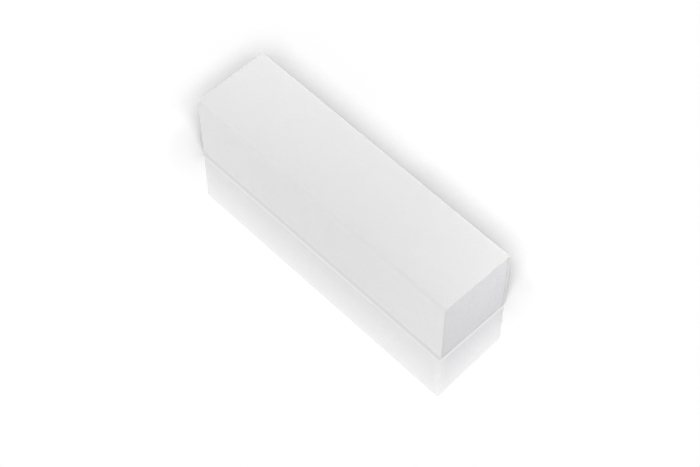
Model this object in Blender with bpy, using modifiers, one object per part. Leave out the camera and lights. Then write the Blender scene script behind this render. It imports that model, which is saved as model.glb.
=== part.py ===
"""White nail buffer block, lying on one of its long sides.

A bar of closed-cell foam is wrapped in one sheet of coated abrasive paper, whose two edges meet in a
butt seam on the underside, and is then cut to length, so both ends show the foam. From the inside out it
is made of the foam core, the adhesive film, the backing paper and the grit coat.

X runs along the block, Y across it from front to back, and Z up. The origin is the middle of the underside.
"""

import math

import bmesh
import bpy
from mathutils import Matrix, Vector

MM = 0.001

# The finished block, over the grit
BLOCK_LENGTH = 95.0 * MM
BLOCK_WIDTH = 25.0 * MM
BLOCK_HEIGHT = 25.0 * MM

# The long edges of the foam, round which the sheet is bent
FOAM_EDGE_RADIUS = 0.5 * MM

# The layers of the wrap, from the outside in, and the clear space that each keeps to the next
GRIT_THICKNESS = 0.2 * MM
PAPER_THICKNESS = 0.2 * MM
FILM_THICKNESS = 0.1 * MM
LAYER_CLEARANCE = 0.1 * MM

# The butt seam on the underside: the slit between the sheet's two edges, and its middle's distance
# from the back face
SEAM_GAP = 0.3 * MM
SEAM_FROM_BACK = 5.0 * MM

# Cut foam draws back a little behind the paper's cut edge
FOAM_RECESS = 0.3 * MM

# Facets of each rounded long edge
EDGE_SEGMENTS = 10

# How deep each layer's outer face lies below the outside of the block
GRIT_DEPTH = 0.0
PAPER_DEPTH = GRIT_DEPTH + GRIT_THICKNESS + LAYER_CLEARANCE
FILM_DEPTH = PAPER_DEPTH + PAPER_THICKNESS + LAYER_CLEARANCE
FOAM_DEPTH = FILM_DEPTH + FILM_THICKNESS + LAYER_CLEARANCE

# The finished block's long edges, over the grit
EDGE_RADIUS = FOAM_EDGE_RADIUS + FOAM_DEPTH

# A face counts as flat to a direction within the first angle, and an edge is shaded sharp past the second
FLAT_ANGLE = math.radians(0.5)
SHARP_ANGLE = math.radians(30)

LENGTHWAYS = Vector((1, 0, 0))
BACKWARDS = Vector((0, 1, 0))
UPWARDS = Vector((0, 0, 1))


def clear_scene():
    for obj in list(bpy.data.objects):
        bpy.data.objects.remove(obj, do_unlink=True)


def make_material(name, colour, roughness):
    material = bpy.data.materials.new(name)
    material.use_nodes = True
    shader = material.node_tree.nodes["Principled BSDF"]
    shader.inputs["Base Color"].default_value = (*colour, 1.0)
    shader.inputs["Roughness"].default_value = roughness
    shader.inputs["Metallic"].default_value = 0.0
    material.diffuse_color = (*colour, 1.0)
    return material


def faces_towards(bar, direction):
    return [face for face in bar.faces if face.normal.angle(direction) < FLAT_ANGLE]


def rounded_bar(length, depth):
    """A bar whose sides lie this depth below the block's, its long edges rounded about the foam's centres."""
    bar = bmesh.new()
    sides = (length, BLOCK_WIDTH - 2 * depth, BLOCK_HEIGHT - 2 * depth)
    bmesh.ops.create_cube(bar, size=1, matrix=Matrix.Diagonal((*sides, 1)))
    long_edges = [edge for edge in bar.edges if edge.verts[0].co.x * edge.verts[1].co.x < 0]
    bmesh.ops.bevel(
        bar,
        geom=long_edges,
        offset=EDGE_RADIUS - depth,
        offset_type="OFFSET",
        segments=EDGE_SEGMENTS,
        profile=0.5,
        affect="EDGES",
    )
    bar.normal_update()
    return bar


def open_ends(bar):
    end_faces = faces_towards(bar, LENGTHWAYS) + faces_towards(bar, -LENGTHWAYS)
    bmesh.ops.delete(bar, geom=end_faces, context="FACES_ONLY")


def slit_seam(bar):
    """Cuts the strip between the sheet's two edges out of the underside."""
    seam_y = BLOCK_WIDTH / 2 - SEAM_FROM_BACK
    for edge_y in (seam_y - SEAM_GAP / 2, seam_y + SEAM_GAP / 2):
        underside = faces_towards(bar, -UPWARDS)
        corners_and_edges = {part for face in underside for part in (*face.verts, *face.edges)}
        bmesh.ops.bisect_plane(
            bar,
            geom=[*underside, *corners_and_edges],
            plane_co=BACKWARDS * edge_y,
            plane_no=BACKWARDS,
        )
    strip = [
        face
        for face in faces_towards(bar, -UPWARDS)
        if abs(face.calc_center_median().y - seam_y) < SEAM_GAP / 2
    ]
    bmesh.ops.delete(bar, geom=strip, context="FACES")


def place(name, bar, material, collection, block):
    """Makes the bar an object, half the block's height above the origin."""
    mesh = bpy.data.meshes.new(name)
    bar.to_mesh(mesh)
    bar.free()
    mesh.materials.append(material)
    mesh.shade_smooth()
    mesh.set_sharp_from_angle(angle=SHARP_ANGLE)
    obj = bpy.data.objects.new(name, mesh)
    collection.objects.link(obj)
    obj.parent = block
    obj.location = UPWARDS * BLOCK_HEIGHT / 2
    return obj


def make_core(collection, block):
    """The closed-cell foam bar, cut square at both ends."""
    foam = make_material("foam", (0.80, 0.80, 0.83), 0.9)
    bar = rounded_bar(BLOCK_LENGTH - 2 * FOAM_RECESS, FOAM_DEPTH)
    place("foam_core", bar, foam, collection, block)


def make_layer(name, depth, thickness, material, collection, block):
    """One layer of the wrap: a sleeve that is open at both ends and along the seam."""
    bar = rounded_bar(BLOCK_LENGTH, depth)
    open_ends(bar)
    slit_seam(bar)
    layer = place(name, bar, material, collection, block)
    wall = layer.modifiers.new("wall", "SOLIDIFY")
    wall.thickness = thickness
    wall.offset = -1
    wall.use_even_offset = True
    wall.use_rim = True


def make_wrap(collection, block):
    """The sheet, laid on from the adhesive outwards."""
    adhesive = make_material("adhesive", (0.85, 0.84, 0.78), 0.35)
    make_layer("adhesive_film", FILM_DEPTH, FILM_THICKNESS, adhesive, collection, block)
    paper = make_material("paper", (0.82, 0.81, 0.78), 0.85)
    make_layer("backing_paper", PAPER_DEPTH, PAPER_THICKNESS, paper, collection, block)
    grit = make_material("grit", (0.86, 0.86, 0.86), 0.75)
    make_layer("grit_coat", GRIT_DEPTH, GRIT_THICKNESS, grit, collection, block)


def main():
    clear_scene()
    collection = bpy.data.collections.new("nail_buffer")
    bpy.context.scene.collection.children.link(collection)
    block = bpy.data.objects.new("block", None)
    collection.objects.link(block)
    make_core(collection, block)
    make_wrap(collection, block)


main()
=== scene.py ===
import math

import bmesh
import bpy
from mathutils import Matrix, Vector


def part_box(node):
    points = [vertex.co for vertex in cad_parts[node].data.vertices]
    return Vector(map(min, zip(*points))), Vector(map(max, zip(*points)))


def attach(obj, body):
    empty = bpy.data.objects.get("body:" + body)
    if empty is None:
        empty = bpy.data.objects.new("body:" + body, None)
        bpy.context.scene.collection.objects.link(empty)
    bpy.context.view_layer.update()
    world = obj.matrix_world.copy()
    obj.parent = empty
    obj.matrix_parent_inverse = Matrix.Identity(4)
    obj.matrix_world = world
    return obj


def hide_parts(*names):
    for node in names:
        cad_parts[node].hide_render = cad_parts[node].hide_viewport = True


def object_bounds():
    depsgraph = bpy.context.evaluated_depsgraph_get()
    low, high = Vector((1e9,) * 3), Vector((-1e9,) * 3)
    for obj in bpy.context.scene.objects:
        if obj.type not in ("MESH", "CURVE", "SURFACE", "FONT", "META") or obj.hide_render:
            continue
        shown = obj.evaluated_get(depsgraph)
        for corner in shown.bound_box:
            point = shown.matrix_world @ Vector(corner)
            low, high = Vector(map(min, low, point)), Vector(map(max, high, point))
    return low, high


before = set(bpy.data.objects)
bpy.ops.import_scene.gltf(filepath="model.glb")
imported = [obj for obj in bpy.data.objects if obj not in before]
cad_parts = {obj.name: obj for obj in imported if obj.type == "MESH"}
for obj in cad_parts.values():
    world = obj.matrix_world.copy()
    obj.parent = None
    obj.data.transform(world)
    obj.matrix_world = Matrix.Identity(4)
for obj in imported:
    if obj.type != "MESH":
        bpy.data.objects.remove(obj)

cad_low, cad_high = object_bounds()

# Camera. It looks along the photograph's own line of sight, from above the block's front right. Its place,
# aim and lens were fitted to the points where the block's edges cross in the photograph, 700 by 467 pixels.
line_of_sight_azimuth = math.radians(45.77)
line_of_sight_elevation = math.radians(56.55)
camera_distance = 0.4975
camera_aim = Vector((0.0075, -0.0073, cad_high.z / 2))
camera_sensor_width = 36
camera_lens = 94.6
towards_camera = Vector((
    math.sin(line_of_sight_azimuth) * math.cos(line_of_sight_elevation),
    -math.cos(line_of_sight_azimuth) * math.cos(line_of_sight_elevation),
    math.sin(line_of_sight_elevation),
))
photo_camera = bpy.data.objects.new("photo_camera", bpy.data.cameras.new("photo_camera"))
photo_camera.data.sensor_width = camera_sensor_width
photo_camera.data.lens = camera_lens
photo_camera.location = camera_aim + towards_camera * camera_distance
photo_camera.rotation_euler = (-towards_camera).to_track_quat("-Z", "Y").to_euler()
bpy.context.scene.collection.objects.link(photo_camera)
bpy.context.scene.camera = photo_camera
bpy.context.scene.view_settings.view_transform = "Standard"

# Foam core. A square bar of white closed-cell foam that gives the block its body. A blade cuts it to length,
# wrap and all, which opens the cells at both ends, and the foam springs back a little behind the wrap's edge.
edge_radius = 0.0013
block_half_width = cad_high.y
block_half_height = cad_high.z / 2
foam_low, foam_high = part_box("foam_core")
foam_depth = block_half_width - foam_high.y
foam_rise = 0.00015
crown_height = 0.00005
end_grid_cuts = 198
end_from_share = 0.999
cell_size = 0.00038
cell_depth = 0.00009
cell_irregularity = 0.9
cell_wall_share = 0.02
cell_floor_share = 0.3
shallowest_cell_share = 0.3
# The cells' walls and their pits: the pits' darker colour is painted shade.
foam_wall_colour = (0.715, 0.708, 0.73, 1)
foam_pit_shade_colour = (0.645, 0.638, 0.66, 1)
foam_mottle_share = 0.25


def feed(tree, socket, value):
    """Gives an input another node's output, or a plain value."""
    if isinstance(value, bpy.types.NodeSocket):
        tree.links.new(value, socket)
    else:
        socket.default_value = value


def add_node(tree, kind, inputs=None, **settings):
    """Adds a node, sets its own settings, then feeds its inputs, which are given by name or by number."""
    node = tree.nodes.new(kind)
    for name, value in settings.items():
        setattr(node, name, value)
    for name, value in (inputs or {}).items():
        feed(tree, node.inputs[name], value)
    return node


def calc(tree, operation, *values):
    """One sum on numbers."""
    node = add_node(tree, "ShaderNodeMath", dict(enumerate(values)), operation=operation)
    return node.outputs[0]


def calc_vector(tree, operation, *values):
    """One sum on vectors."""
    node = add_node(tree, "ShaderNodeVectorMath", dict(enumerate(values)), operation=operation)
    return node.outputs["Value" if operation in ("DOT_PRODUCT", "LENGTH") else "Vector"]


def scaled(tree, vector, factor):
    """A vector or colour times a number."""
    node = add_node(tree, "ShaderNodeVectorMath", {0: vector, "Scale": factor}, operation="SCALE")
    return node.outputs["Vector"]


def change(tree, value, start, end, at_start=0.0, at_end=1.0, step="LINEAR"):
    """Goes from the one result to the other while the value goes from start to end, and stays put outside."""
    node = add_node(
        tree, "ShaderNodeMapRange",
        {"Value": value, "From Min": start, "From Max": end, "To Min": at_start, "To Max": at_end},
        interpolation_type=step,
    )
    return node.outputs["Result"]


def noise(tree, place, scale, detail, roughness=0.5):
    """Cloudy noise between nought and one."""
    node = add_node(tree, "ShaderNodeTexNoise", {
        "Vector": place, "Scale": scale, "Detail": detail, "Roughness": roughness})
    return node.outputs["Fac"]


def split(tree, vector):
    """A vector's X, Y and Z."""
    return add_node(tree, "ShaderNodeSeparateXYZ", {0: vector}).outputs


def new_shape_tree(name, inputs):
    """A Geometry Nodes tree with these named inputs. Gives the tree and its inputs."""
    tree = bpy.data.node_groups.new(name, "GeometryNodeTree")
    tree.interface.new_socket("Geometry", in_out="INPUT", socket_type="NodeSocketGeometry")
    for label, kind in inputs.items():
        tree.interface.new_socket(label, in_out="INPUT", socket_type="NodeSocket" + kind)
    tree.interface.new_socket("Geometry", in_out="OUTPUT", socket_type="NodeSocketGeometry")
    return tree, tree.nodes.new("NodeGroupInput").outputs


def close_shape_tree(tree, geometry, material):
    """Ends a tree the way the export needs: real geometry, with its material."""
    real = add_node(tree, "GeometryNodeRealizeInstances", {"Geometry": geometry})
    painted = add_node(tree, "GeometryNodeSetMaterial", {"Geometry": real.outputs[0], "Material": material})
    add_node(tree, "NodeGroupOutput", {"Geometry": painted.outputs[0]})


def use_shape_tree(piece, tree, values):
    """Puts the tree on a piece, with its inputs set by their sockets' identifiers."""
    modifier = piece.modifiers.new(tree.name, "NODES")
    modifier.node_group = tree
    for item in tree.interface.items_tree:
        if item.in_out == "INPUT" and item.name in values:
            modifier[item.identifier] = values[item.name]


def make_plain(piece):
    """Turns what a piece's modifiers make into its own mesh."""
    evaluated = piece.evaluated_get(bpy.context.evaluated_depsgraph_get())
    mesh = bpy.data.meshes.new_from_object(evaluated)
    piece.modifiers.clear()
    piece.data = mesh
    mesh.name = piece.name


def add_piece(name, mesh):
    piece = bpy.data.objects.new(name, mesh)
    bpy.context.scene.collection.objects.link(piece)
    return piece


def new_finish(name):
    """A material with its Principled shader. Gives the material, its tree and its shader."""
    material = bpy.data.materials.new(name)
    material.use_nodes = True
    return material, material.node_tree, material.node_tree.nodes["Principled BSDF"]


def own_place(tree):
    """Where on its own piece a material is."""
    return add_node(tree, "ShaderNodeTexCoord").outputs["Object"]


def marked(tree, name):
    """A number that a piece's mesh carries under this name."""
    return add_node(tree, "ShaderNodeAttribute", attribute_name=name).outputs["Fac"]


def tinted(tree, share, first_colour, last_colour):
    """A colour this far between the two."""
    ramp = add_node(tree, "ShaderNodeValToRGB", {"Fac": share})
    ramp.color_ramp.elements[0].color = first_colour
    ramp.color_ramp.elements[1].color = last_colour
    return ramp.outputs["Color"]


def set_surface(tree, shader, colour, roughness, height, strength, distance):
    """Sets the shader's colour and roughness, and a fine relief of this height map."""
    feed(tree, shader.inputs["Base Color"], colour)
    shader.inputs["Roughness"].default_value = roughness
    relief = add_node(tree, "ShaderNodeBump", {"Strength": strength, "Distance": distance, "Height": height})
    feed(tree, shader.inputs["Normal"], relief.outputs["Normal"])


def foam_finish():
    material, tree, shader = new_finish("cut_foam")
    place = own_place(tree)
    mottle = noise(tree, place, scale=420.0, detail=3.0)
    # Random mottle, with painted shade that darkens the open cells' pits.
    shade = calc(tree, "MULTIPLY_ADD", mottle, foam_mottle_share, calc(
        tree, "MULTIPLY", marked(tree, "pit"), 1 - foam_mottle_share))
    tint = tinted(tree, shade, foam_wall_colour, foam_pit_shade_colour)
    skin = noise(tree, place, scale=9000.0, detail=2.0)
    set_surface(tree, shader, tint, roughness=0.85, height=skin, strength=0.35, distance=0.00003)
    shader.inputs["Specular IOR Level"].default_value = 0.3
    return material


def rounded_place(across, up, half_width, half_height, radius):
    """Where a point of a square section lies once its corners are rounded: each corner square turns into a
    quarter disc."""
    flat_y = half_width - radius
    flat_z = half_height - radius
    past_y = max(abs(across) - flat_y, 0)
    past_z = max(abs(up) - flat_z, 0)
    reach = math.hypot(past_y, past_z)
    share = max(past_y, past_z) / reach if reach else 1
    return (
        math.copysign(min(abs(across), flat_y) + past_y * share, across),
        math.copysign(min(abs(up), flat_z) + past_z * share, up),
    )


def foam_bar():
    """The bar with smooth ends, each a fine grid that follows the rounded outline."""
    bar = bmesh.new()
    bmesh.ops.create_cube(bar, size=1)
    end_edges = [edge for edge in bar.edges if edge.verts[0].co.x * edge.verts[1].co.x > 0]
    bmesh.ops.subdivide_edges(bar, edges=end_edges, cuts=end_grid_cuts, use_grid_fill=True)
    size = foam_high - foam_low + Vector((2 * foam_rise, 0, 0))
    middle = (foam_high + foam_low) / 2
    for vert in bar.verts:
        across, up = rounded_place(
            vert.co.y * size.y, vert.co.z * size.z, size.y / 2, size.z / 2, edge_radius - foam_depth
        )
        vert.co = middle + Vector((vert.co.x * size.x, across, up))
    mesh = bpy.data.meshes.new("foam_core_visual")
    bar.to_mesh(mesh)
    bar.free()
    return mesh


def cut_cells_tree():
    """Opens the cells on both cut ends: each is a small pit with a thin wall between it and the next. The cut
    is a little crowned, as the blade presses the foam's rim."""
    tree, given = new_shape_tree(
        "Cells opened by the cut",
        {
            "Half length": "Float", "Half width": "Float", "Middle height": "Float", "Cell size": "Float",
            "Cell depth": "Float", "Crown": "Float", "Foam": "Material",
        },
    )
    place = add_node(tree, "GeometryNodeInputPosition").outputs[0]
    axes = split(tree, place)
    at_end = calc(tree, "GREATER_THAN", calc(tree, "ABSOLUTE", axes["X"]), calc(
        tree, "MULTIPLY", given["Half length"], end_from_share))
    cells = {
        "Vector": scaled(tree, place, calc(tree, "DIVIDE", 1.0, given["Cell size"])),
        "Scale": 1.0, "Randomness": cell_irregularity,
    }
    walls = add_node(tree, "ShaderNodeTexVoronoi", cells, feature="DISTANCE_TO_EDGE").outputs["Distance"]
    hollow = change(tree, walls, cell_wall_share, cell_floor_share, step="SMOOTHSTEP")
    own_depth = split(tree, add_node(tree, "ShaderNodeTexVoronoi", cells).outputs["Color"])["X"]
    pit = calc(tree, "MULTIPLY", hollow, calc(
        tree, "MULTIPLY_ADD", own_depth, 1 - shallowest_cell_share, shallowest_cell_share))
    across = calc(tree, "DIVIDE", axes["Y"], given["Half width"])
    up = calc(tree, "DIVIDE", calc(tree, "SUBTRACT", axes["Z"], given["Middle height"]), given["Half width"])
    slump = calc(tree, "MULTIPLY", calc(tree, "MAXIMUM", calc(tree, "MULTIPLY", across, across), calc(
        tree, "MULTIPLY", up, up)), given["Crown"])
    inwards = calc(tree, "ADD", calc(tree, "MULTIPLY", pit, given["Cell depth"]), slump)
    along = calc(tree, "MULTIPLY", inwards, calc(tree, "MULTIPLY", calc(tree, "SIGN", axes["X"]), -1.0))
    # The pits' depth is kept for the finish, which paints shade into them.
    stored = add_node(
        tree, "GeometryNodeStoreNamedAttribute",
        {"Geometry": given["Geometry"], "Name": "pit", "Value": calc(tree, "MULTIPLY", pit, at_end)},
        data_type="FLOAT", domain="POINT",
    )
    cut = add_node(tree, "GeometryNodeSetPosition", {
        "Geometry": stored.outputs[0], "Selection": at_end,
        "Offset": add_node(tree, "ShaderNodeCombineXYZ", {"X": along}).outputs[0],
    })
    close_shape_tree(tree, cut.outputs[0], given["Foam"])
    return tree


foam = add_piece("foam_core_cut", foam_bar())
use_shape_tree(foam, cut_cells_tree(), {
    "Half length": foam_high.x + foam_rise, "Half width": foam_high.y, "Middle height": block_half_height,
    "Cell size": cell_size, "Cell depth": cell_depth, "Crown": crown_height, "Foam": foam_finish(),
})
make_plain(foam)
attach(foam, "root")
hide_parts("foam_core")

# Adhesive film. A thin coat of contact adhesive on the back of the abrasive sheet. It is pressed onto the
# foam, fills the space up to the paper, and shows only as a fine glossy line round each end and in the seam.
seam_gap = 0.0001
seam_from_back = 0.005
bend_facets = 12
bend_from_squareness = 0.98
bend_full_squareness = 0.86
sheet_steps_round = 240
sheet_steps_along = 60
cut_waver = 0.00022
cut_waver_reach = 0.0012
cut_waves_round = 26.0
cut_ends_apart = 7.0
cut_wander_low = 0.3
cut_wander_high = 0.7
cut_edge_angle = math.radians(40)
# The faces the blade made are darkened in every layer of the wrap: painted shade.
cut_face_from = 0.6
cut_face_to = 0.8
swell_scale = 700.0
adhesive_dark = (0.64, 0.632, 0.62, 1)
adhesive_light = (0.71, 0.702, 0.69, 1)
adhesive_kept_where_cut = 0.97
film_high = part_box("adhesive_film")[1]
paper_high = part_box("backing_paper")[1]


def wrapped_sheet_tree():
    """A flat sheet, as long as the block, rolled round the block's outline from one side of the seam to the
    other. The blade leaves its cut ends a little wavy, alike in every layer."""
    tree, given = new_shape_tree(
        "Sheet wrapped round the block",
        {
            "Length": "Float", "Width": "Float", "Height": "Float", "Edge radius": "Float", "Depth": "Float",
            "Seam gap": "Float", "Seam from back": "Float", "Steps round": "Int", "Steps along": "Int",
            "Bend facets": "Int", "Waver": "Float", "Waver reach": "Float", "Ripple": "Float",
            "Layer": "Material",
        },
    )
    double_depth = calc(tree, "MULTIPLY", given["Depth"], 2.0)
    wide = calc(tree, "SUBTRACT", given["Width"], double_depth)
    high = calc(tree, "SUBTRACT", given["Height"], double_depth)
    radius = calc(tree, "SUBTRACT", given["Edge radius"], given["Depth"])
    square = add_node(tree, "GeometryNodeCurvePrimitiveQuadrilateral", {"Width": wide, "Height": high})
    outline = add_node(
        tree, "GeometryNodeFilletCurve",
        {"Curve": square.outputs[0], "Count": given["Bend facets"], "Radius": radius}, mode="POLY",
    ).outputs[0]
    girth = add_node(tree, "GeometryNodeCurveLength", {"Curve": outline}).outputs[0]

    # The outline starts on the back face, just under its top bend, and runs over the top to the seam
    bend = calc(tree, "MULTIPLY", radius, math.pi / 2)
    both_bends = calc(tree, "MULTIPLY", radius, 2.0)
    flat_top = calc(tree, "SUBTRACT", wide, both_bends)
    flat_front = calc(tree, "SUBTRACT", high, both_bends)
    front_to_seam = calc(tree, "SUBTRACT", given["Width"], given["Seam from back"])
    underside_run = calc(tree, "SUBTRACT", front_to_seam, calc(tree, "ADD", given["Depth"], radius))
    to_seam = calc(tree, "ADD", calc(tree, "MULTIPLY", bend, 3.0), calc(tree, "ADD", flat_top, calc(
        tree, "ADD", flat_front, underside_run)))
    flat = add_node(tree, "GeometryNodeMeshGrid", {
        "Size X": given["Length"], "Size Y": 1.0,
        "Vertices X": given["Steps along"], "Vertices Y": given["Steps round"],
    })
    spot = split(tree, add_node(tree, "GeometryNodeInputPosition").outputs[0])
    share = calc(tree, "ADD", spot["Y"], 0.5)
    run = calc(tree, "MULTIPLY", share, calc(tree, "SUBTRACT", girth, given["Seam gap"]))
    from_seam = calc(tree, "ADD", run, calc(tree, "MULTIPLY", given["Seam gap"], 0.5))
    measured = calc(tree, "FLOORED_MODULO", calc(tree, "ADD", from_seam, to_seam), girth)
    section = split(tree, add_node(
        tree, "GeometryNodeSampleCurve", {"Curves": outline, "Length": measured},
        mode="LENGTH", use_all_curves=True,
    ).outputs["Position"])

    # The waver of the cut is strongest at the very end and dies out a little way in
    half_length = calc(tree, "MULTIPLY", given["Length"], 0.5)
    from_end = calc(tree, "SUBTRACT", half_length, calc(tree, "ABSOLUTE", spot["X"]))
    near_end = change(tree, from_end, 0.0, given["Waver reach"], at_start=1.0, at_end=0.0, step="SMOOTHSTEP")
    which_end = calc(tree, "SIGN", spot["X"])
    blade_path = add_node(tree, "ShaderNodeCombineXYZ", {
        "X": calc(tree, "MULTIPLY", which_end, cut_ends_apart),
        "Y": calc(tree, "MULTIPLY", share, cut_waves_round),
    })
    wander = noise(tree, blade_path.outputs[0], scale=1.0, detail=5.0, roughness=0.7)
    blade = change(tree, wander, cut_wander_low, cut_wander_high)
    pulled = calc(tree, "MULTIPLY", calc(tree, "MULTIPLY", blade, which_end), calc(
        tree, "MULTIPLY", near_end, calc(tree, "MULTIPLY", given["Waver"], -1.0)))
    rolled = add_node(tree, "GeometryNodeSetPosition", {
        "Geometry": flat.outputs["Mesh"],
        "Position": add_node(tree, "ShaderNodeCombineXYZ", {
            "X": calc(tree, "ADD", spot["X"], pulled),
            "Y": section["X"],
            "Z": calc(tree, "ADD", section["Y"], calc(tree, "MULTIPLY", given["Height"], 0.5)),
        }).outputs[0],
    })
    outwards = add_node(tree, "GeometryNodeFlipFaces", {"Mesh": rolled.outputs[0]})

    # The coat sinks by an uneven amount, and its bends are marked for the material
    swell = noise(tree, add_node(tree, "GeometryNodeInputPosition").outputs[0], swell_scale, detail=2.0)
    normal = add_node(tree, "GeometryNodeInputNormal").outputs[0]
    lowered = scaled(tree, normal, calc(
        tree, "MULTIPLY", swell, calc(tree, "MULTIPLY", given["Ripple"], -1.0)))
    rippled = add_node(tree, "GeometryNodeSetPosition", {"Geometry": outwards.outputs[0], "Offset": lowered})
    facing = split(tree, normal)
    squareness = calc(tree, "MAXIMUM", calc(tree, "ABSOLUTE", facing["Y"]), calc(
        tree, "ABSOLUTE", facing["Z"]))
    bent = add_node(
        tree, "GeometryNodeStoreNamedAttribute",
        {
            "Geometry": rippled.outputs[0], "Name": "bend",
            "Value": change(tree, squareness, bend_from_squareness, bend_full_squareness),
        },
        data_type="FLOAT", domain="POINT",
    )
    smooth = add_node(tree, "GeometryNodeSetShadeSmooth", {"Geometry": bent.outputs[0], "Shade Smooth": True})
    close_shape_tree(tree, smooth.outputs[0], given["Layer"])
    return tree


wrapped_sheet = wrapped_sheet_tree()


def wrap_layer(name, depth, thickness, finish, steps_round=sheet_steps_round, steps_along=sheet_steps_along,
               ripple=0.0):
    """One layer of the wrap as a closed sleeve. Its outer face lies this depth below the block's outside."""
    layer = add_piece(name, bpy.data.meshes.new(name))
    use_shape_tree(layer, wrapped_sheet, {
        "Length": cad_high.x - cad_low.x, "Width": cad_high.y - cad_low.y, "Height": cad_high.z - cad_low.z,
        "Edge radius": edge_radius, "Depth": depth, "Seam gap": seam_gap, "Seam from back": seam_from_back,
        "Steps round": steps_round, "Steps along": steps_along, "Bend facets": bend_facets,
        "Waver": cut_waver, "Waver reach": cut_waver_reach, "Ripple": ripple, "Layer": finish,
    })
    wall = layer.modifiers.new("wall", "SOLIDIFY")
    wall.thickness = thickness
    wall.offset = -1
    make_plain(layer)
    layer.data.set_sharp_from_angle(angle=cut_edge_angle)
    return layer


def painted_shade_where_cut(tree, colour, kept):
    """The colour, darkened to this share on the faces that the blade made: painted shade on the cut ends."""
    facing = split(tree, add_node(tree, "ShaderNodeTexCoord").outputs["Normal"])
    along = calc(tree, "ABSOLUTE", facing["X"])
    return scaled(tree, colour, change(tree, along, cut_face_from, cut_face_to, at_start=1.0, at_end=kept))


def adhesive_finish():
    material, tree, shader = new_finish("contact_adhesive")
    drag = noise(tree, own_place(tree), scale=2600.0, detail=3.0)
    tint = painted_shade_where_cut(tree, tinted(tree, drag, adhesive_dark, adhesive_light), adhesive_kept_where_cut)
    set_surface(tree, shader, tint, roughness=0.35, height=drag, strength=0.4, distance=0.00004)
    return material


paper_depth = block_half_width - paper_high.y
film_depth = block_half_width - film_high.y
paper_inner_depth = film_depth - (film_depth - paper_depth) / 3
film_thickness = foam_depth - paper_inner_depth
film = wrap_layer("adhesive_film_pressed", paper_inner_depth, film_thickness, adhesive_finish())
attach(film, "root")
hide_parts("adhesive_film")

# Backing paper. The strong, uncoated paper that carries the abrasive, one sheet wrapped round all four long
# sides. Its two edges meet in the seam on the underside, and the blade leaves short fibres on its cut ends.
paper_dark = (0.67, 0.665, 0.66, 1)
paper_light = (0.76, 0.755, 0.75, 1)
paper_kept_where_cut = 0.93
fibre_stretch = (1.0, 4.0, 4.0)


def paper_finish():
    material, tree, shader = new_finish("backing_paper_fibre")
    drawn = add_node(tree, "ShaderNodeMapping", {"Vector": own_place(tree), "Scale": fibre_stretch})
    fibre = noise(tree, drawn.outputs[0], scale=2400.0, detail=5.0, roughness=0.7)
    tint = painted_shade_where_cut(tree, tinted(tree, fibre, paper_dark, paper_light), paper_kept_where_cut)
    set_surface(tree, shader, tint, roughness=0.9, height=fibre, strength=0.5, distance=0.00004)
    return material


paper = wrap_layer("backing_paper_wrapped", paper_depth, paper_inner_depth - paper_depth, paper_finish())
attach(paper, "root")
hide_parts("backing_paper")

# Size coat. The resin and chalky anti-clog coat that holds the grains on the paper. It is brushed on flat and
# cures before the sheet is bent, so it is creased along the four rounded edges. The bends carry painted
# light.
skin_depth = 0.00010
skin_steps_round = 214
skin_steps_along = 210
skin_ripple = 0.00002
grit_dark = (0.77, 0.769, 0.77, 1)
grit_light = (0.85, 0.849, 0.85, 1)
grit_kept_where_cut = 0.85
grit_cloud_share = 0.25
# The bends are painted lighter: painted light that evens out the darker band the light leaves along them.
painted_light_on_bend = 0.4
crease_stretch = (0.25, 1.0, 1.0)


def grit_finish():
    material, tree, shader = new_finish("white_grit")
    place = own_place(tree)
    bend = marked(tree, "bend")
    cloud = noise(tree, place, scale=260.0, detail=3.0)
    speck = noise(tree, place, scale=7000.0, detail=2.0)
    mottle = calc(tree, "MULTIPLY_ADD", cloud, grit_cloud_share, calc(
        tree, "MULTIPLY", speck, 1 - grit_cloud_share))
    # Random mottle, with painted light along the bends.
    tone = calc(tree, "MULTIPLY_ADD", bend, painted_light_on_bend, mottle)
    tint = painted_shade_where_cut(tree, tinted(tree, tone, grit_dark, grit_light), grit_kept_where_cut)
    along_bend = add_node(tree, "ShaderNodeMapping", {"Vector": place, "Scale": crease_stretch})
    crease = noise(tree, along_bend.outputs[0], scale=5200.0, detail=3.0)
    fine = add_node(tree, "ShaderNodeTexVoronoi", {"Vector": place, "Scale": 9000.0}).outputs["Distance"]
    height = calc(tree, "MULTIPLY_ADD", bend, crease, calc(tree, "SUBTRACT", 1.0, fine))
    set_surface(tree, shader, tint, roughness=0.7, height=height, strength=0.6, distance=0.00004)
    shader.inputs["Specular IOR Level"].default_value = 0.4
    return material


white_grit = grit_finish()
skin = wrap_layer(
    "size_coat", skin_depth, paper_depth - skin_depth, white_grit,
    steps_round=skin_steps_round, steps_along=skin_steps_along, ripple=skin_ripple,
)
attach(skin, "root")
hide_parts("grit_coat")

# Grains. Fine white aluminium oxide, scattered on the wet resin and half sunk in it. Each long side of the
# block, with half of the bends beside it, is one piece, and so are the grains laid bare at each cut end.
grain_size = 0.00020
grain_least_gap = 0.00021
grains_per_square_metre = 1.6e7
grain_sink = 0.00001
grain_least_stretch = 0.65
grain_most_stretch = 1.15
half_way_to_next_side = math.sqrt(0.5)
sides = {
    "grains_top": Vector((0, 0, 1)),
    "grains_front": Vector((0, -1, 0)),
    "grains_back": Vector((0, 1, 0)),
    "grains_underside": Vector((0, 0, -1)),
    "grains_near_cut": Vector((1, 0, 0)),
    "grains_far_cut": Vector((-1, 0, 0)),
}


def random_vector(tree, least, most, seed):
    """A vector for each grain, with each of its parts between these two numbers."""
    return add_node(
        tree, "FunctionNodeRandomValue", {"Min": (least,) * 3, "Max": (most,) * 3, "Seed": seed},
        data_type="FLOAT_VECTOR",
    ).outputs["Value"]


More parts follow.
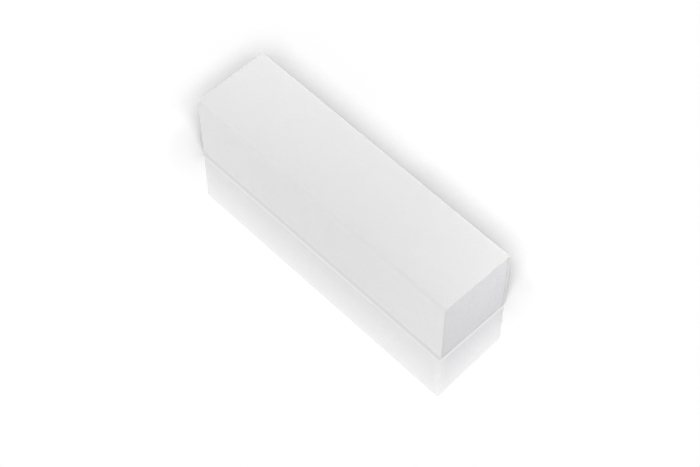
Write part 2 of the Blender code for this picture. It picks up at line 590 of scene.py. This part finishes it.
def grain_tree():
    """Scatters grains over the side of the skin that faces one way: blunt double pyramids, each turned and
    stretched its own way."""
    tree, given = new_shape_tree(
        "Grains on one side",
        {
            "Side": "Vector", "Middle": "Vector", "Grain size": "Float", "Least gap": "Float",
            "Grains per square metre": "Float", "Sink": "Float", "Seed": "Int", "Grit": "Material",
        },
    )
    place = add_node(tree, "GeometryNodeInputPosition").outputs[0]
    normal = add_node(tree, "GeometryNodeInputNormal").outputs[0]
    faces_side = calc(
        tree, "GREATER_THAN", calc_vector(tree, "DOT_PRODUCT", normal, given["Side"]), half_way_to_next_side)
    from_middle = calc_vector(tree, "SUBTRACT", place, given["Middle"])
    is_outer = calc(tree, "GREATER_THAN", calc_vector(tree, "DOT_PRODUCT", normal, from_middle), 0.0)
    scattered = add_node(
        tree, "GeometryNodeDistributePointsOnFaces",
        {
            "Mesh": given["Geometry"], "Selection": calc(tree, "MULTIPLY", faces_side, is_outer),
            "Distance Min": given["Least gap"], "Density Max": given["Grains per square metre"],
            "Seed": given["Seed"],
        },
        distribute_method="POISSON",
    )
    sunk = scaled(tree, scattered.outputs["Normal"], calc(tree, "MULTIPLY", given["Sink"], -1.0))
    set_in = add_node(tree, "GeometryNodeSetPosition", {
        "Geometry": scattered.outputs["Points"], "Offset": sunk})
    crystal = add_node(tree, "GeometryNodeMeshUVSphere", {"Segments": 4, "Rings": 2, "Radius": 0.5})
    turn = random_vector(tree, 0.0, math.tau, given["Seed"])
    next_seed = calc(tree, "ADD", given["Seed"], 1)
    stretch = random_vector(tree, grain_least_stretch, grain_most_stretch, next_seed)
    grains = add_node(tree, "GeometryNodeInstanceOnPoints", {
        "Points": set_in.outputs[0], "Instance": crystal.outputs["Mesh"], "Rotation": turn,
        "Scale": scaled(tree, stretch, given["Grain size"]),
    })
    close_shape_tree(tree, grains.outputs[0], given["Grit"])
    return tree


grains_on_one_side = grain_tree()
block_middle = (cad_low + cad_high) / 2
for seed, (name, side) in enumerate(sides.items(), start=1):
    grains = add_piece(name, skin.data.copy())
    use_shape_tree(grains, grains_on_one_side, {
        "Side": side, "Middle": block_middle, "Grain size": grain_size, "Least gap": grain_least_gap,
        "Grains per square metre": grains_per_square_metre, "Sink": grain_sink, "Seed": seed,
        "Grit": white_grit,
    })
    make_plain(grains)
    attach(grains, "root")
    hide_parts("grit_coat")

# Floor. A plain pale table top that keeps the block's shadow and is white a little way off. It mirrors the
# foot of the two sides that show, over a pale ground, with a fine painted light line along the foot, and is a
# little darker round the block's outline, a painted shadow, as in the photograph. It throws a matt table's
# light back onto the block.
floor_half_size = 3.0
floor_tone = 0.3
# Beside the block the table's seen tone is lower, a little more at the near end: a painted shadow.
floor_tone_by_far_end = 0.283
floor_tone_by_near_end = 0.275
thrown_back_tone = 0.205
thrown_back_tone_by_block = 0.225
by_block_within = 0.0092
away_from_block_past = 0.014
white_from = 0.018
white_to = 0.032
# The halos below are painted shadow on the table round the block's outline.
far_corner_halo = 0.18
near_corner_halo = 0.1
corner_halo_reach = 0.003
corner_halo_length = 0.005
far_edge_halo = 0.058
back_edge_halo = 0.05
back_edge_halo_from = 0.0166
near_edge_halo = 0.045
near_edge_halo_down_to = 0.018
edge_halo_within = 0.004
edge_halo_gone_past = 0.0095
mirror_colour = (0.97, 0.97, 0.97, 1)
mirror_roughness = 0.05
mirror_share_at_front = 1.0
mirror_share_at_end = 0.75
mirror_reach = 0.0144
mirror_cut = 0.0085
mirror_end_pace = 1.334
mirror_end_pace_per_metre = 6.9
mirror_rim_share = 0.78
mirror_rim_width = 0.0025
mirror_soft_edge = 0.0003
# The foot line is painted light, a glow that only the camera sees, and the gap under the foot a dimmer glow.
foot_line = 0.82
foot_line_width = 0.0005
foot_line_full_within = 0.2
foot_line_gone_past = 0.8
foot_line_place = 0.0006
foot_line_end_shift = 0.00045
foot_line_short_of_back = 0.0009
foot_gap = 0.7
foot_gap_under_block = 0.001


def seen_rays(tree):
    """One for what is looked at, straight, in a shine or through glass, and nought for scattered light."""
    rays = add_node(tree, "ShaderNodeLightPath").outputs
    return calc(tree, "MAXIMUM", rays["Is Camera Ray"], calc(
        tree, "MAXIMUM", rays["Is Glossy Ray"], rays["Is Transmission Ray"]))


def past_border(tree, distance):
    """Nought before one of the mirrored foot's borders, one past it, with a soft step between."""
    return change(tree, distance, -mirror_soft_edge, mirror_soft_edge, step="SMOOTHSTEP")


def aside(corner_x, corner_y):
    """How far the line of sight to this corner of the block runs along X for each step back along Y."""
    return (photo_camera.location.x - corner_x) / (corner_y - photo_camera.location.y)


def mirrored_foot(tree, place):
    """Where the table top mirrors the block, and how much. The mirrored foot is as wide as the front and the
    near end look along the photograph's lines of sight. It pales away from them and ends in a clean cut."""
    before = calc(tree, "SUBTRACT", -cad_high.y, place["Y"])
    beyond = calc(tree, "SUBTRACT", place["X"], cad_high.x)
    from_rim = calc(tree, "SUBTRACT", beyond, calc(tree, "MULTIPLY", before, aside(cad_high.x, cad_low.y)))
    at_end = calc(tree, "MULTIPLY", calc(tree, "GREATER_THAN", from_rim, 0.0), calc(
        tree, "GREATER_THAN", beyond, 0.0))
    rim = change(tree, calc(tree, "ABSOLUTE", from_rim), 0.0, mirror_rim_width, at_start=mirror_rim_share)
    end_pace = calc(tree, "MULTIPLY_ADD", place["Y"], mirror_end_pace_per_metre, mirror_end_pace)
    in_front = past_border(tree, calc(tree, "MULTIPLY_ADD", before, -aside(cad_low.x, cad_low.y), calc(
        tree, "SUBTRACT", place["X"], cad_low.x)))
    in_end = past_border(tree, calc(tree, "MULTIPLY_ADD", beyond, -1 / aside(cad_high.x, cad_high.y), calc(
        tree, "SUBTRACT", cad_high.y, place["Y"])))

    def for_side(front, end):
        return add_node(tree, "ShaderNodeMix", {"Factor": at_end, "A": front, "B": end}).outputs["Result"]

    away = for_side(before, calc(tree, "MULTIPLY", beyond, end_pace))
    fading = calc(tree, "SUBTRACT", 1.0, calc(tree, "DIVIDE", away, mirror_reach))
    before_cut = past_border(tree, calc(tree, "SUBTRACT", mirror_cut, away))
    in_strip = calc(tree, "MULTIPLY", past_border(tree, away), before_cut)
    there = calc(tree, "MULTIPLY", in_strip, for_side(in_front, in_end))
    share = calc(tree, "MULTIPLY", fading, for_side(mirror_share_at_front, mirror_share_at_end))
    return there, calc(tree, "MULTIPLY", share, rim)


def foot_light(tree, place):
    """The thin painted light line on the table along the foot of the front and the near end, a glow that is
    dimmer, a painted shade, in the gap under the foot. Gives its share and its strength."""
    past_end = calc(tree, "ADD", calc(tree, "SUBTRACT", place["X"], cad_high.x), foot_line_end_shift)
    past_front = calc(tree, "SUBTRACT", -cad_high.y, place["Y"])
    past_far = calc(tree, "SUBTRACT", cad_low.x, place["X"])
    past_back = calc(tree, "SUBTRACT", place["Y"], cad_high.y - foot_line_short_of_back)
    outside = calc(tree, "MAXIMUM", past_end, past_front)
    on_side = calc(tree, "MULTIPLY", calc(tree, "GREATER_THAN", outside, -foot_gap_under_block), calc(
        tree, "LESS_THAN", calc(tree, "MAXIMUM", past_far, past_back), 0.0))
    from_line = calc(tree, "DIVIDE", calc(tree, "SUBTRACT", outside, foot_line_place), foot_line_width)
    share = change(tree, from_line, foot_line_full_within, foot_line_gone_past, at_start=1.0, at_end=0.0)
    strength = change(tree, from_line, -foot_line_gone_past, -foot_line_full_within, foot_gap, foot_line)
    return calc(tree, "MULTIPLY", share, on_side), strength


def from_block(tree, point):
    """How far a point of the table is from the block's foot."""
    from_middle = calc_vector(tree, "ABSOLUTE", point)
    past_sides = calc_vector(tree, "SUBTRACT", from_middle, (cad_high.x, cad_high.y, 0))
    return calc_vector(tree, "LENGTH", calc_vector(tree, "MAXIMUM", past_sides, (0, 0, 0)))


def from_stretch(tree, point, start, end):
    """How far a point of the table is from the straight stretch between these two places."""
    way = (end - start).normalized()
    from_start = calc_vector(tree, "SUBTRACT", point, start)
    along = calc(tree, "MINIMUM", (end - start).length, calc(
        tree, "MAXIMUM", 0.0, calc_vector(tree, "DOT_PRODUCT", from_start, way)))
    return calc_vector(tree, "LENGTH", calc_vector(
        tree, "SUBTRACT", from_start, calc_vector(tree, "MULTIPLY", way, along)))


def seen_past(x, y, z):
    """Where the photograph's line of sight past this place on the block meets the table."""
    eye = photo_camera.location
    return eye + (Vector((x, y, z)) - eye) * (eye.z / (eye.z - z))


def corner_halo(tree, point, corner, depth):
    """A painted shadow on the table along the start of the line of sight that runs on past this corner of the
    foot. Gives the share of the tone that is left."""
    onwards = ((corner - photo_camera.location) * Vector((1, 1, 0))).normalized()
    distance = from_stretch(tree, point, corner, corner + onwards * corner_halo_length)
    shade = calc(tree, "EXPONENT", calc(tree, "DIVIDE", distance, -corner_halo_reach))
    return calc(tree, "SUBTRACT", 1.0, calc(tree, "MULTIPLY", shade, depth))


def shaded_by_outline(tree, tone, point):
    """The tone with painted shadow, a little darker where the table is seen just past the block's outline: at
    two corners of its foot, and on both sides of the stretches that are seen past three of its edges."""
    far_foot = Vector((cad_low.x, cad_low.y, 0))
    near_foot = Vector((cad_high.x, cad_high.y, 0))
    for corner, depth in ((far_foot, far_corner_halo), (near_foot, near_corner_halo)):
        tone = calc(tree, "MULTIPLY", tone, corner_halo(tree, point, corner, depth))
    far_front = seen_past(cad_low.x, cad_low.y, cad_high.z)
    far_back = seen_past(cad_low.x, cad_high.y, cad_high.z)
    along_back = seen_past(back_edge_halo_from, cad_high.y, cad_high.z)
    near_back = seen_past(cad_high.x, cad_high.y, cad_high.z)
    down_near_back = seen_past(cad_high.x, cad_high.y, near_edge_halo_down_to)
    shade = 0.0
    for start, end, depth in (
        (far_front, far_back, far_edge_halo),
        (along_back, near_back, back_edge_halo),
        (near_back, down_near_back, near_edge_halo),
    ):
        distance = from_stretch(tree, point, start, end)
        shade = calc(tree, "MAXIMUM", shade, change(
            tree, distance, edge_halo_within, edge_halo_gone_past, at_start=depth, at_end=0.0))
    return calc(tree, "MULTIPLY", tone, calc(tree, "SUBTRACT", 1.0, shade))


def floor_finish():
    material, tree, shader = new_finish("pale_table")
    tree.nodes.remove(shader)
    point = own_place(tree)
    place = split(tree, point)
    seen = seen_rays(tree)
    distance = from_block(tree, point)

    def mixed(share, first, second):
        return add_node(tree, "ShaderNodeMixShader", {
            "Fac": share, 1: first.outputs[0], 2: second.outputs[0]})

    def tone_off_block(by_block, away):
        return change(tree, distance, by_block_within, away_from_block_past, by_block, away)

    # Painted shadow: the seen tone is lower beside the block and is shaded further round its outline.
    tone_by_block = change(
        tree, place["X"], cad_low.x, cad_high.x, floor_tone_by_far_end, floor_tone_by_near_end
    )
    seen_tone = shaded_by_outline(tree, tone_off_block(tone_by_block, floor_tone), point)
    thrown_tone = tone_off_block(thrown_back_tone_by_block, thrown_back_tone)
    tone = change(tree, seen, 0.0, 1.0, thrown_tone, seen_tone)
    matt = add_node(tree, "ShaderNodeBsdfDiffuse", {"Color": tone})
    mirror = add_node(tree, "ShaderNodeBsdfGlossy", {"Color": mirror_colour, "Roughness": mirror_roughness})
    paleness = add_node(tree, "ShaderNodeEmission")
    mirrored, mirror_share = mirrored_foot(tree, place)
    # The painted light line along the foot, seen only by the camera.
    line_share, line_strength = foot_light(tree, place)
    glow = add_node(tree, "ShaderNodeEmission", {"Strength": line_strength})
    straight = add_node(tree, "ShaderNodeLightPath").outputs["Is Camera Ray"]

    foot = mixed(mirror_share, paleness, mirror)
    with_foot = mixed(calc(tree, "MULTIPLY", seen, mirrored), matt, foot)
    white_share = change(tree, distance, white_from, white_to)
    whitened = mixed(calc(tree, "MULTIPLY", seen, white_share), with_foot, paleness)
    lined = mixed(calc(tree, "MULTIPLY", straight, line_share), whitened, glow)
    feed(tree, tree.nodes["Material Output"].inputs["Surface"], lined.outputs[0])
    return material


floor_mesh = bpy.data.meshes.new("floor")
floor_grid = bmesh.new()
bmesh.ops.create_grid(floor_grid, x_segments=1, y_segments=1, size=floor_half_size)
floor_grid.to_mesh(floor_mesh)
floor_grid.free()
floor_mesh.materials.append(floor_finish())
floor = add_piece("floor", floor_mesh)

# Light. A white tent stands all round the block, with a wide soft lamp before it and a weak one behind. Six
# small soft boxes and a strip lamp even out the light at its edges and ends. They and the lamp behind are
# flagged off the table, which has two lamps of its own, so that the block's shadow is a soft rim round it.
tent_strength = 0.4
tent_strength_seen = 1.0
front_lamp_strength = 1.31
front_lamp_elevation = math.radians(21.5)
front_lamp_spread = math.radians(80)
back_lamp_strength = 0.3
back_lamp_elevation = math.radians(12)
back_lamp_spread = math.radians(60)
table_lamp_power = 28.3
table_lamp_width = 0.47
table_lamp_distance = 0.9
over_lamp_strength = 1.1
over_lamp_spread = math.radians(60)
soft_boxes = {
    "far_back": dict(power=0.111, size=0.09, place=(-0.085, 0.075, 0.15), aim=(-0.04, 0.01, 0.025)),
    "near_back": dict(power=0.053, size=0.06, place=(0.12, 0.05, 0.07), aim=(0.045, 0.01, 0.015)),
    "near_top": dict(power=0.0026, size=0.04, place=(0.075, 0.02, 0.075), aim=(0.046, 0, 0.025)),
    "far_front": dict(power=0.0075, size=0.05, place=(-0.09, -0.075, 0.03), aim=(-0.044, -0.0125, 0.012)),
    "back": dict(power=0.0053, size=0.10, place=(0, 0.055, 0.07), aim=(0, 0, 0.025)),
    "near_front": dict(power=0.0013, size=0.03, place=(0.065, -0.05, 0.015), aim=(0.046, -0.0125, 0.008)),
}
strip_lamp_power = 0.00013
strip_lamp_length = 0.095
strip_lamp_height = 0.004
strip_lamp_place = Vector((0, -0.0245, 0.026))

world = bpy.data.worlds.new("white_tent")
bpy.context.scene.world = world
world.use_nodes = True
tent = world.node_tree
tent_light = change(tent, seen_rays(tent), 0.0, 1.0, tent_strength, tent_strength_seen)
feed(tent, tent.nodes["Background"].inputs["Color"], (1, 1, 1, 1))
feed(tent, tent.nodes["Background"].inputs["Strength"], tent_light)


def add_lamp(name, kind, energy, place, towards, lights=None, **settings):
    """A lamp that shines this way on what this collection names, or on everything. Neither the camera nor the
    table top's shine sees it."""
    lamp = bpy.data.objects.new(name, bpy.data.lights.new(name, kind))
    lamp.data.energy = energy
    for setting, value in settings.items():
        setattr(lamp.data, setting, value)
    lamp.location = place
    lamp.rotation_euler = towards.to_track_quat("-Z", "Y").to_euler()
    lamp.visible_camera = False
    lamp.visible_glossy = False
    bpy.context.scene.collection.objects.link(lamp)
    if lights is not None:
        lamp.light_linking.receiver_collection = lights


table_only = bpy.data.collections.new("table_only")
table_only.objects.link(floor)
off_the_table = bpy.data.collections.new("off_the_table")
off_the_table.objects.link(floor)
off_the_table.collection_objects[0].light_linking.link_state = "EXCLUDE"

table_lamp_place = camera_aim + towards_camera * table_lamp_distance
add_lamp(
    "table_lamp", "AREA", table_lamp_power, table_lamp_place, -towards_camera, table_only,
    shape="DISK", size=table_lamp_width,
)
downwards = Vector((0, 0, -1))
add_lamp("over_lamp", "SUN", over_lamp_strength, camera_aim, downwards, table_only, angle=over_lamp_spread)
from_front = Vector((0, math.cos(front_lamp_elevation), -math.sin(front_lamp_elevation)))
add_lamp("front_lamp", "SUN", front_lamp_strength, camera_aim, from_front, angle=front_lamp_spread)
from_behind = Vector((0, -math.cos(back_lamp_elevation), -math.sin(back_lamp_elevation)))
add_lamp(
    "back_lamp", "SUN", back_lamp_strength, camera_aim, from_behind, off_the_table, angle=back_lamp_spread,
)
for name, box in soft_boxes.items():
    place = Vector(box["place"])
    towards = Vector(box["aim"]) - place
    add_lamp("soft_box_" + name, "AREA", box["power"], place, towards, off_the_table, size=box["size"])
add_lamp(
    "strip_lamp", "AREA", strip_lamp_power, strip_lamp_place, Vector((0, 1, 0)), off_the_table,
    shape="RECTANGLE", size=strip_lamp_length, size_y=strip_lamp_height,
)
